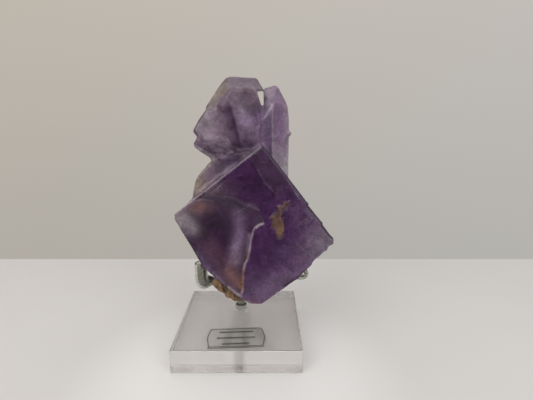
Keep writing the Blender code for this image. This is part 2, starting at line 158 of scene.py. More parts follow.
def turned(name, profile, material):
    """A profile of (radius, height) pairs carried round the post's axis: x and y are the radius times the
    cosine and sine of the angle, for 72 angles. Each corner gets a second pair close by, which keeps the
    smooth shading flat between corners."""
    corners = np.array(profile, float)
    ahead = np.diff(corners, axis=0)
    ahead /= np.linalg.norm(ahead, axis=1, keepdims=True)
    spread = np.repeat(corners, 2, axis=0)[1:-1]
    spread[0::2] += 0.06 * ahead
    spread[1::2] -= 0.06 * ahead
    ring = np.vstack([corners[:1], spread, corners[-1:]])
    angle = np.linspace(0, 2 * np.pi, 72, endpoint=False)
    radius, height = ring[:, :1], np.repeat(ring[:, 1:], 72, axis=1)
    points = np.stack([POST[0] + radius * np.cos(angle), POST[1] + radius * np.sin(angle), height], axis=-1)
    return put(name, points, True, material)


turned_steel, tree, shader, place = new_finish("turned_steel", Metallic=0.55)
# Turning marks: rings every 0.12 mm up the axis, broken up by blotches of skin oil some 2 mm across
rings = add(
    tree,
    "ShaderNodeTexWave",
    {"Vector": place, "Scale": 2600.0, "Distortion": 0.6},
    wave_type="BANDS",
    bands_direction="Z",
)
oil = add(tree, "ShaderNodeTexNoise", {"Vector": place, "Scale": 480.0, "Detail": 4.0})
dull = add(tree, "ShaderNodeMapRange", {0: oil.outputs[0], 1: 0.35, 2: 0.7, 3: 0.4, 4: 0.6})
tint = add(
    tree,
    "ShaderNodeMix",
    {0: oil.outputs[0], 6: linear(0xB4B6AE), 7: linear(0x8C8E84)},
    data_type="RGBA",
)
tree.links.new(tint.outputs[2], shader.inputs["Base Color"])
tree.links.new(dull.outputs[0], shader.inputs["Roughness"])
relief = add(tree, "ShaderNodeBump", {"Height": rings.outputs[0], "Strength": 0.12, "Distance": 0.00002})
tree.links.new(relief.outputs[0], shader.inputs["Normal"])

# The sleeve is blackened by oil and has stayed dull
dull_steel, tree, shader, place = new_finish("oiled_steel", Metallic=0.3, Roughness=0.7)
stain = add(tree, "ShaderNodeTexNoise", {"Vector": place, "Scale": 700.0, "Detail": 4.0})
tint = add(
    tree, "ShaderNodeMix", {0: stain.outputs[0], 6: linear(0x888A82), 7: linear(0x60625A)}, data_type="RGBA"
)
tree.links.new(tint.outputs[2], shader.inputs["Base Color"])
insert = turned(
    "insert",
    [(1.85, 4.9), (1.85, 9.35), (2.1, 9.6), (2.45, 9.6), (2.6, 9.45), (2.6, 4.9), (1.85, 4.9)],
    dull_steel,
)
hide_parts("post_insert")
post = turned(
    "post_rod",
    [(0, 21), (1.9, 21), (1.9, 10.1), (1.7, 9.9), (1.55, 9.9), (1.55, 5.2), (1.25, 4.9), (0, 4.9)],
    turned_steel,
)
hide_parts("post")
collar = turned(
    "collar",
    [
        (0, 23), (3.9, 23), (4.5, 22.4), (4.5, 17.9), (4.3, 17.7), (4.3, 17.3), (4.5, 17.1), (4.5, 16.6),
        (3.9, 16), (2.1, 16), (1.95, 16.2), (1.95, 18), (0, 18),
    ],
    turned_steel,
)
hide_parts("hub")

# The arms: 3.2 mm steel rod, cut, bent by hand over a former and pressed into the collar. Drawing has left
# faint lines along the rod, and it is darker and browner where fingers never rub it.


def bent(corners, radius_of_bend=3.0):
    """A wire's middle line through its corners, in millimetres: each inner corner is a curve whose points
    weigh its start, the corner and its end by (1-t) squared, 2t(1-t) and t squared."""
    c = np.array(corners, float)
    back, on = c[:-2] - c[1:-1], c[2:] - c[1:-1]
    long_back, long_on = np.linalg.norm(back, axis=1), np.linalg.norm(on, axis=1)
    back, on = back / long_back[:, None], on / long_on[:, None]
    half = np.arccos(np.clip((back * on).sum(1), -1, 1)) / 2
    reach = np.minimum(radius_of_bend / np.tan(half), 0.45 * np.minimum(long_back, long_on))[:, None, None]
    t = np.linspace(0, 1, 13)[None, :, None]
    middle = c[1:-1][:, None]
    start, end = middle + back[:, None] * reach, middle + on[:, None] * reach
    curves = (1 - t) ** 2 * start + 2 * t * (1 - t) * middle + t**2 * end
    return np.vstack([c[:1], curves.reshape(-1, 3), c[-1:]])


def length_along(path):
    """The distance along a path at each of its points."""
    return np.concatenate([[0], np.cumsum(np.linalg.norm(np.diff(path, axis=0), axis=1))])


def along(path, distances):
    """The points at these distances along a path, straight between its own."""
    reach = length_along(path)
    return np.stack([np.interp(distances, reach, path[:, k]) for k in range(3)], axis=-1)


def carried(path, distances, radii, sides=32):
    """A circle carried along a path. At each distance the point is the path's, plus the radius times the
    cosine of the angle along a level direction, and times its sine along the third direction."""
    middle = along(path, distances)
    step = 0.2
    ahead = along(path, distances + step) - along(path, distances - step)
    ahead /= np.linalg.norm(ahead, axis=1, keepdims=True)
    level = np.cross(path[-1] - path[0], (0, 0, 1.0))
    first = level - ahead * (ahead @ level)[:, None]
    first /= np.linalg.norm(first, axis=1, keepdims=True)
    second = np.cross(ahead, first)
    angle = np.linspace(0, 2 * np.pi, sides, endpoint=False)[None, :, None]
    around = first[:, None] * np.cos(angle) + second[:, None] * np.sin(angle)
    return middle[:, None] + around * np.asarray(radii, float)[:, None, None]


WIRE = 1.6
routes = {
    "left": [
        (-2.2, 8.8, 19.5), (-4.4, 4.6, 19.5), (-11.4, -9.5, 31.4), (-13.7, -15.0, 31.9), (-13.8, -15.1, 40.0)
    ],
    "right": [(1.4, 9.9, 19.5), (4.5, 7.1, 19.5), (8.4, 3.3, 21.6), (23.9, -8.2, 33.3), (25.4, -14.6, 36.3)],
    "back": [
        (-0.5, 14.8, 19.5), (-0.5, 18.6, 19.5), (0.6, 18.6, 31.0), (1.8, 11.4, 38.5), (2.2, 11.0, 47.5)
    ],
}

drawn_steel, tree, shader, place = new_finish("drawn_steel_rod", Metallic=1.0)
patches = add(tree, "ShaderNodeTexNoise", {"Vector": place, "Scale": 260.0, "Detail": 5.0, "Roughness": 0.6})
grime = add(tree, "ShaderNodeMapRange", {0: patches.outputs[0], 1: 0.4, 2: 0.68, 3: 0.0, 4: 1.0})
tint = add(
    tree, "ShaderNodeMix", {0: grime.outputs[0], 6: linear(0x8A8981), 7: linear(0x5A594E)}, data_type="RGBA"
)
dull = add(tree, "ShaderNodeMapRange", {0: patches.outputs[0], 1: 0.3, 2: 0.7, 3: 0.2, 4: 0.38})
# Die lines about 0.1 mm apart, drawn as a fine grain
grain = add(tree, "ShaderNodeTexNoise", {"Vector": place, "Scale": 5000.0, "Detail": 1.0})
relief = add(tree, "ShaderNodeBump", {"Height": grain.outputs[0], "Strength": 0.1, "Distance": 0.00002})
tree.links.new(tint.outputs[2], shader.inputs["Base Color"])
tree.links.new(dull.outputs[0], shader.inputs["Roughness"])
tree.links.new(relief.outputs[0], shader.inputs["Normal"])

wires = {}
for side, corners in routes.items():
    path = bent(corners)
    wires[side] = path
    total = length_along(path)[-1]
    # The tip is filed to a small dome: the radius falls as a quarter circle over the last 0.7 mm
    inner = np.linspace(0, total - 0.7, 90)
    turn = np.linspace(0, np.pi / 2, 7)[1:]
    stations = np.concatenate([[0], inner, total - 0.7 + 0.7 * np.sin(turn)])
    radii = np.concatenate([[0.0], np.full(90, WIRE), WIRE - 0.7 + 0.7 * np.cos(turn)])
    radii[-1] = 0
    rod = put(f"wire_{side}", carried(path, stations, radii), True, drawn_steel)
    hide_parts(f"arm_{side}")

# The sleeves: clear soft vinyl tube pushed over each upturned end so that metal never touches crystal. The
# cut ends are square with soft lips, the tube swells a little over the rod, and the vinyl is faintly milky.

SLEEVE_LENGTHS = {"left": 12.5, "right": 6.5, "back": 9.5}
vinyl, tree, shader, place = new_finish(
    "clear_vinyl_tube", Base_Color=linear(0xE6E6DE), IOR=1.46, Transmission_Weight=0.92
)
cloud = add(tree, "ShaderNodeTexNoise", {"Vector": place, "Scale": 400.0, "Detail": 3.0})
soft = add(tree, "ShaderNodeMapRange", {0: cloud.outputs[0], 1: 0.3, 2: 0.7, 3: 0.06, 4: 0.2})
relief = add(tree, "ShaderNodeBump", {"Height": cloud.outputs[0], "Strength": 0.25, "Distance": 0.0001})
tree.links.new(soft.outputs[0], shader.inputs["Roughness"])
tree.links.new(relief.outputs[0], shader.inputs["Normal"])

for side, path in wires.items():
    total = length_along(path)[-1]
    low, high = total - SLEEVE_LENGTHS[side] + 0.8, total + 0.8
    longer = np.vstack([path, path[-1] + (path[-1] - path[-2]) / np.linalg.norm(path[-1] - path[-2])])
    skin = np.linspace(low, high, 40)
    swell = 2.4 + 0.05 * np.sin(np.linspace(0, np.pi, 40))
    # Out along the outside, round the lip and back along the bore, which grips the rod
    stations = np.concatenate([skin, [high + 0.05], skin[::-1], [low - 0.05]])
    radii = np.concatenate([swell, [2.1], np.full(40, 1.68), [2.1]])
    drawn_on = carried(longer, stations, radii)
    tube = put(f"tube_{side}", drawn_on, True, vinyl, round_rows=True)
    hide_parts(f"sleeve_{side}")

# The label: a clear self-adhesive film with a printed outline, pressed on the block by hand and not quite
# square to it. Only the ink shows: a dark line round a plate with two blunt points, and plain ruled lines.

film, tree, shader, place = new_finish("clear_label_film", IOR=1.45)
plate = add(
    tree,
    "ShaderNodeMapping",
    {"Vector": place, "Location": (-0.6 * MM, -17.1 * MM, 0), "Rotation": (0, 0, math.radians(3))},
    vector_type="TEXTURE",
)
axes = add(tree, "ShaderNodeSeparateXYZ", {0: plate.outputs[0]})
across = add(tree, "ShaderNodeMath", {0: axes.outputs[0]}, operation="ABSOLUTE")
up = add(tree, "ShaderNodeMath", {0: axes.outputs[1]}, operation="ABSOLUTE")
# How far a point lies inside the plate: from its long sides, and from its pointed ends
side_gap = add(tree, "ShaderNodeMath", {0: 6.1 * MM, 1: up.outputs[0]}, operation="SUBTRACT")
slant = add(
    tree, "ShaderNodeMath", {0: up.outputs[0], 1: 0.19, 2: across.outputs[0]}, operation="MULTIPLY_ADD"
)
end_gap = add(tree, "ShaderNodeMath", {0: 11.5 * MM, 1: slant.outputs[0]}, operation="SUBTRACT")
inside = add(tree, "ShaderNodeMath", {0: side_gap.outputs[0], 1: end_gap.outputs[0]}, operation="MINIMUM")
line = add(tree, "ShaderNodeMath", {0: inside.outputs[0], 1: 0.0, 2: 0.2 * MM}, operation="COMPARE")
# Three ruled lines 4 mm apart, 0.9 mm thick and of a different length each
ink = line.outputs[0]
for height, half in ((3.9, 6.9), (-0.2, 7.6), (-4.2, 5.2)):
    level = add(
        tree, "ShaderNodeMath", {0: axes.outputs[1], 1: height * MM, 2: 0.45 * MM}, operation="COMPARE"
    )
    within = add(tree, "ShaderNodeMath", {0: across.outputs[0], 1: half * MM}, operation="LESS_THAN")
    ruled = add(tree, "ShaderNodeMath", {0: level.outputs[0], 1: within.outputs[0]}, operation="MULTIPLY")
    ink = add(tree, "ShaderNodeMath", {0: ink, 1: ruled.outputs[0]}, operation="MAXIMUM").outputs[0]
worn = add(tree, "ShaderNodeTexNoise", {"Vector": place, "Scale": 2500.0, "Detail": 2.0})
solid = add(tree, "ShaderNodeMapRange", {0: worn.outputs[0], 1: 0.3, 2: 0.45, 3: 0.35, 4: 0.9})
print_weight = add(tree, "ShaderNodeMath", {0: ink, 1: solid.outputs[0]}, operation="MULTIPLY").outputs[0]
colour = add(
    tree, "ShaderNodeMix", {0: print_weight, 6: linear(0xFAFAF8), 7: linear(0x2C302C)}, data_type="RGBA"
)
clear = add(tree, "ShaderNodeMath", {0: 1.0, 1: print_weight}, operation="SUBTRACT")
matt = add(tree, "ShaderNodeMapRange", {0: print_weight, 3: 0.1, 4: 0.5})
tree.links.new(colour.outputs[2], shader.inputs["Base Color"])
tree.links.new(clear.outputs[0], shader.inputs["Transmission Weight"])
tree.links.new(matt.outputs[0], shader.inputs["Roughness"])
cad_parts["label"].data.materials.clear()
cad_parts["label"].data.materials.append(film)

# The crystals: fluorite, grown as cubes through one another, then broken from its rock. The purple is in the
# crystal itself and deepest in its middle, faces are part polished and part frosted by growth steps, the
# blow at the lower left has left a shell-shaped hollow, and iron has stained the breaks a rusty brown.

LEAN, YAW, TURN = math.radians(4), math.radians(1.5), math.radians(38)
out = np.array((math.sin(YAW) * math.cos(LEAN), -math.cos(YAW) * math.cos(LEAN), math.sin(LEAN)))
right = np.array((math.cos(YAW), math.sin(YAW), 0))
up = np.cross(out, right)
along_top, along_side = (right * math.cos(a) + up * math.sin(a) for a in (TURN, TURN + math.pi / 2))
CUBE = np.stack([along_top, along_side, out])
FACE_MIDDLE = np.array((6.9, -21.5, 54.9))


def fine_copy(node, voxel):
    """A closed mesh of a solid in even small faces: a copy with its doubles merged is rebuilt in cubes of
    the voxel's size, and each of its points is then drawn back to the nearest point of the solid."""
    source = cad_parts[node].data.copy()
    bm = bmesh.new()
    bm.from_mesh(source)
    bmesh.ops.remove_doubles(bm, verts=bm.verts, dist=1e-5)
    bm.to_mesh(source)
    bm.free()
    target = bpy.data.objects.new("solid_copy", source)
    rebuilt = bpy.data.objects.new("rebuilt", source.copy())
    for made in (target, rebuilt):
        bpy.context.scene.collection.objects.link(made)
    remesh = rebuilt.modifiers.new("even_faces", "REMESH")
    remesh.mode, remesh.voxel_size = "VOXEL", voxel * MM
    draw = rebuilt.modifiers.new("draw_back", "SHRINKWRAP")
    draw.target, draw.wrap_method = target, "NEAREST_SURFACEPOINT"
    evaluated = rebuilt.evaluated_get(bpy.context.evaluated_depsgraph_get())
    mesh = bpy.data.meshes.new_from_object(evaluated)
    for made in (target, rebuilt):
        bpy.data.objects.remove(made)
    mesh.materials.clear()
    return mesh


def read_points(mesh):
    """A mesh's points in millimetres, and the outward direction at each."""
    points, normals = (np.empty(len(mesh.vertices) * 3, np.float32) for _ in range(2))
    mesh.vertices.foreach_get("co", points)
    mesh.vertices.foreach_get("normal", normals)
    return points.reshape(-1, 3).astype(float) / MM, normals.reshape(-1, 3).astype(float)


def write_points(mesh, points):
    """The points, given in millimetres, put back on the mesh."""
    mesh.vertices.foreach_set("co", (points * MM).astype(np.float32).ravel())
    mesh.update()


def softened(mesh, points, weight, rounds):
    """Points that have moved towards the mean of their neighbours by half the weight, this many times."""
    ends = np.empty(len(mesh.edges) * 2, np.int32)
    mesh.edges.foreach_get("vertices", ends)
    a, b = ends.reshape(-1, 2).T
    count = np.bincount(ends, minlength=len(points))[:, None]
    for _ in range(rounds):
        total = [
            np.bincount(a, points[b, k], len(points)) + np.bincount(b, points[a, k], len(points))
            for k in range(3)
        ]
        points = points + 0.5 * weight[:, None] * (np.stack(total, axis=1) / count - points)
    return points


def lumps(points, size, seed):
    """Smooth random lumps of about this size in millimetres, from -1 to 1. Each point lies in a cube of a
    lattice with a random value at every corner, and takes the eight values mixed by 3t^2 - 2t^3 of its
    place in the cube."""
    table = np.random.default_rng(seed).uniform(-1, 1, (32, 32, 32))
    cell = points / size + 1000
    low = np.floor(cell).astype(int)
    t = cell - low
    t = t * t * (3 - 2 * t)
    total = 0
    for corner in np.ndindex(2, 2, 2):
        at = (low + corner) % 32
        weight = np.prod(np.where(corner, t, 1 - t), axis=1)
        total = total + weight * table[at[:, 0], at[:, 1], at[:, 2]]
    return total


def rough(points, size, seed):
    """Four sizes of lumps, each half as large and half as high as the one before."""
    return sum(lumps(points, size / 2**k, seed + k) / 2**k for k in range(4)) / 1.6


def step(value, low, high):
    """0 below low, 1 above high, and 3t^2 - 2t^3 between them."""
    t = np.clip((value - low) / (high - low), 0, 1)
    return t * t * (3 - 2 * t)


def off_line(at, line):
    """The distance in the plane from each point to a line of straight stretches."""
    best = np.full(len(at), 1e9)
    for start, end in zip(np.array(line[:-1], float), np.array(line[1:], float)):
        ahead = end - start
        share = np.clip((at - start) @ ahead / (ahead @ ahead), 0, 1)
        best = np.minimum(best, np.linalg.norm(at - start - share[:, None] * ahead, axis=1))
    return best


def streak(at, line, width):
    """A soft streak along a line: e to the minus square of the distance over the width."""
    return np.exp(-((off_line(at, line) / width) ** 2))


def within(at, outline):
    """How deep each point lies inside a flat outline, and below 0 how far outside."""
    closed = [*outline, outline[0]]
    crossings = np.zeros(len(at), int)
    for (x0, y0), (x1, y1) in zip(closed[:-1], closed[1:]):
        spans = (y0 > at[:, 1]) != (y1 > at[:, 1])
        slope = (x1 - x0) / (y1 - y0) if y1 != y0 else 0
        crossings += spans & (at[:, 0] < x0 + slope * (at[:, 1] - y0))
    return np.where(crossings % 2 == 1, 1, -1) * off_line(at, closed)


def spot(at, centre, size, turn=0.0):
    """A soft spot: e to the minus square of the distance, with the distance measured in the spot's own long
    and short halves."""
    c, s = math.cos(turn), math.sin(turn)
    offset = at - centre
    a = (offset[:, 0] * c + offset[:, 1] * s) / size[0]
    b = (offset[:, 1] * c - offset[:, 0] * s) / size[1]
    return np.exp(-(a * a + b * b))


crystal_mesh = fine_copy("fluorite", 0.45)
points, normals = read_points(crystal_mesh)
own = (points - FACE_MIDDLE) @ CUBE.T
face, depth = own[:, :2], own[:, 2]
seen = points[:, ::2]
above = (1 - step(depth, -11.0, -9.0)) * step(points[:, 2], 58, 70)
cube_outline = [(21.5, 22.9), (21.1, -20.3), (20.2, -21.2), (-8.3, -23.3), (-14.8, -23.1), (-17.7, -20.7)]
cube_outline += [(-19.4, -17.4), (-22.2, -4.0), (-22.9, 1.8), (-22.2, 5.6), (-19.2, 22.0), (-18.2, 23.0)]
inner = step(within(face, cube_outline), 0.6, 1.4)
front = step(depth, -9.0, -5.5) * np.maximum(step(normals @ out, 0.5, 0.8), inner)
steep = step(depth, -9.0, -5.5) * inner * (1 - step(normals @ out, 0.5, 0.8))

# The blow's hollow, its sharp lip, and the ridge and the iron crust on the front face
lip_line = [(4.8, 0.4), (3.1, 0.9), (1.2, 0.8), (-0.6, 0.1), (-2.5, -1.4), (-5.1, -4.0), (-8.1, -6.6)]
lip_line += [(-9.3, -6.8), (-11.7, -8.6), (-17.6, -15.2)]
rim_line = [(-6.9, 22.5), (-4.2, 19.0), (1.6, 14.0), (2.8, 11.6), (2.6, 9.7), (5.3, 8.9), (6.2, 7.6)]
hollow_outline = [*rim_line, (6.6, 5.6), (6.1, 3.0), *lip_line, (-27.0, -19.0), (-27.0, 26.0), (-6.9, 26.0)]
iron_outline = [(8.6, 0.6), (10.9, 1.0), (12.9, 2.3), (13.7, 2.1), (13.1, 0.3), (11.4, -1.4), (10.2, -4.1)]
iron_outline += [(8.2, -7.0), (6.3, -7.8), (5.9, -7.2), (6.3, -5.9), (6.7, -4.2), (6.9, -2.1)]
iron_speck = [(13.7, -0.3), (14.8, -0.2), (16.8, 1.1), (16.2, 1.8), (14.2, 1.0)]
ridge_line = [(16.4, 22.6), (16.5, 15.0), (15.2, 4.7), (14.0, 1.9), (15.7, -8.3), (19.4, -9.4)]
wander = np.stack([lumps(points, 3.0, 4), lumps(points, 3.0, 5)], axis=1) * 0.5
hollow = step(within(face + wander, hollow_outline), -0.2, 0.6) * front
lip = streak(face + 0.35 * wander, lip_line, 0.3) * front
wall = steep * streak(face, lip_line, 1.2)
iron_depth = np.maximum(within(face + wander, iron_outline), within(face + wander, iron_speck))
iron = step(iron_depth + 1.1 * rough(points, 1.1, 9), -0.4, 0.0) * front
ridge = streak(face + 0.4 * wander, ridge_line, 0.45) * front

# Wear has rounded the upper crystals and the upper rim of the hollow, and left the cube's edges sharp
at_slit = np.clip(1.6 * spot(seen, (9.3, 103.2), (3.2, 4.6)), 0, 1)
worn = above * (0.75 + 0.25 * lumps(points, 8.0, 3)) * (1 - at_slit)
rim = streak(face, rim_line, 1.1)
points = softened(crystal_mesh, points, np.maximum(0.75 * worn, rim * front), 42)

# Growth steps and small breaks along the cube's two right edges move each by up to a millimetre
near_right = step(face[:, 0], 17.0, 20.6) * step(depth, -14, -5)
out_right = np.interp(
    face[:, 1],
    (-20.6, -16.9, -13.3, -12.8, -10.0, -4.6, -4.1, -2.1, 10.0, 20.0, 23.0),
    (-0.2, -0.45, -0.45, 0.15, 0.05, -0.05, 0.5, 0.7, 0.7, 0.6, 0.3),
)
near_low = step(-face[:, 1], 17.5, 21.0) * step(depth, -14, -5)
out_low = np.interp(
    face[:, 0],
    (-8.0, -3.1, 0.5, 1.6, 2.8, 4.8, 8.9, 10.2, 11.7, 13.9, 15.5, 16.8, 18.3, 19.2, 20.9),
    (0.1, 0.6, 1.0, 1.25, 1.1, 0.9, 0.8, 0.2, 0.05, 0.25, 0.15, 0.6, -0.2, 0.0, 0.3),
)
corner = spot(face, (20.6, -20.4), (1.3, 1.3)) * step(depth, -5, -1)
unworn = 0.45 * np.clip(depth / 0.5 + 1, 0, 1)
points += (near_right * out_right + 0.5 * corner + unworn * step(face[:, 0], 20.3, 20.9))[:, None] * CUBE[0]
points -= (near_low * out_low + 0.4 * corner + unworn * step(-face[:, 1], 20.3, 21.5))[:, None] * CUBE[1]
write_points(crystal_mesh, points)
points, normals = read_points(crystal_mesh)

# Edges frosted by handling, within about half a millimetre of the front face's own outline
frost_and_highlight_edge = streak(face, [*cube_outline, cube_outline[0]], 0.32) * step(depth, -1.2, -0.5)
# Along the upper-left edge the milk is laid strongest: a painted highlight where that edge catches the light
upper_left = step(face[:, 1], 21.0, 22.6)
frost_and_highlight_edge *= np.clip(0.3 + 0.6 * upper_left + 0.35 * lumps(points, 2.5, 17), 0, 1)
frost_and_highlight_edge *= 1 - 0.9 * step(face[:, 0], 19.0, 20.5) * (1 - step(-face[:, 1], -23.5, -22.8))
# The cube's side faces by its right and lower front edges, for painted shade in the darkest tone below
shaded_side_face = step(-face[:, 1], 20.6, 21.6) * step(face[:, 0], -6, -3)
shaded_side_face = np.maximum(step(face[:, 0], 20.1, 20.9), shaded_side_face)
shaded_side_face *= step(depth, -9, -2.5) * (1 - step(face[:, 1], 22.6, 23.0)) * (1 - step(face[:, 0], 22.4, 22.8))

# Relief: shell-like ripples in the hollow, about 3 mm apart and centred on where the blow fell, growth
# steps on the back and sides, and torn ridges low on the upper crystals
ripple_reach = np.linalg.norm(face - (-24.0, 17.0), axis=1) + 0.8 * lumps(points, 5.0, 2)
fade = hollow * step(ripple_reach, 4, 12) * np.clip(0.5 + lumps(points, 7.0, 6), 0, 1)
ripples = np.sin(ripple_reach * 2 * np.pi / 3.1) * fade
below = seen[:, 1] - 88.5 + 0.25 * (seen[:, 0] + 14)
torn = step(-below, -1, 3) * step(seen[:, 1], 75, 80) * above * (1 - step(seen[:, 0], 6, 10))
slanted = np.stack([seen @ (0.9, -0.44), seen @ (0.44, 0.9) * 3.5, points[:, 1] * 1.5], axis=1)
torn_relief = rough(slanted + 1.5 * lumps(points, 4.0, 7)[:, None], 5.0, 31) * torn
fine_tears = rough(slanted + 0.8 * lumps(points, 2.5, 8)[:, None], 2.2, 35) * torn
broad = rough(points, 12.0, 41)
terrace = np.floor(broad * 6) / 6 - broad
relief = 0.05 * ripples + 0.5 * torn_relief - 0.15 * fine_tears + 0.12 * iron * (1 + rough(points, 1.3, 13))
relief += 0.1 * lip
relief += 0.05 * ridge + 0.12 * terrace * (1 - front) - 0.06 * (1 + lumps(points, 1.2, 23)) * frost_and_highlight_edge
relief += (0.16 * rough(points, 6.0, 51) + 0.07 * rough(points, 1.6, 53)) * above
relief += 0.02 * rough(points, 3.0, 55)
low, high = (np.array(corner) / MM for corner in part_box("fluorite"))
write_points(crystal_mesh, np.clip(points + normals * relief[:, None], low, high))

# The colour inside and on the crystals, laid on in order: each layer is a weight, its tone's name and the
# most that it may cover. The cube's own layers come first, then those of the crystals above it.
# Some layers are painted shade, painted glow and painted highlights, each marked where it is laid
rust = streak(face + wander, [(-6.5, -6.0), (-8.8, -7.2), (-12.4, -10.0), (-17.9, -15.9)], 1.0) * 0.9
rust += spot(face, (-16.6, -11.6), (2.6, 2.4)) * 0.6
rust += streak(face + wander, [(-17.4, -17.6), (-16.5, -20.9), (-14.6, -22.4)], 0.9) * 0.6
rust = np.clip(rust * front * (0.8 + 0.8 * rough(points, 2.4, 61)), 0, 1)
rust *= 1 - step(-within(face + wander, hollow_outline), 0.2, 0.8) * step(face[:, 1], -19.0, -17.0)
# A curved band in the hollow, for a painted glow of light that the shell-shaped hollow bends through
painted_glow_band = streak(face + 0.5 * wander, [(-0.3, 8.8), (-3.9, 3.2), (-8.0, -0.2), (-12.0, -4.4)], 2.1) * hollow
ridge_x = np.interp(face[:, 1], (3.8, 7.1, 11.7, 16.8, 22.0), (12.7, 14.4, 13.9, 14.8, 15.2))
beyond_ridge = step(face[:, 0] - ridge_x, -0.2, 0.5) * step(face[:, 1], 2.0, 7.0)
# The slope along the hollow's upper rim, for painted shade: a deeper purple where light from above would
# catch it
rim_slope_shade = streak(face, rim_line, 1.1) * step(depth, -9.0, -5.5) * step(face[:, 0], -6.5, -4.0)
# The tones by name: the mineral's from night purple to frosty white, then its shadows, rust, iron and crust
TONES = {
    "night": 0x302438, "ink": 0x3C1040, "deepest": 0x402348, "grape": 0x501C58, "deep": 0x54345C,
    "plum": 0x603C6C, "purple": 0x644A68, "amethyst": 0x6E547A, "violet": 0x7C5E86, "orchid": 0x8C6C96,
    "mauve": 0x907A94, "heather": 0xA080A8, "lilac": 0xA0889E, "wisteria": 0xB098BA, "pale": 0xAA98AC,
    "paler": 0xB8A4BA, "ash": 0xBCACBA, "milky": 0xC8BAC6, "milk": 0xDACAD4, "frosty": 0xE2D8E4,
    "smoky": 0x8A7484, "rosy": 0x745068, "umber": 0x4A3042, "pitch": 0x38281E, "bark": 0x4E3428,
    "rust": 0x6E4630, "earth": 0x745648, "clay": 0x886A50, "copper": 0x9A7070, "tan": 0xA87C5A,
    "sand": 0xB0A298, "cream": 0xD8C6B6,
}
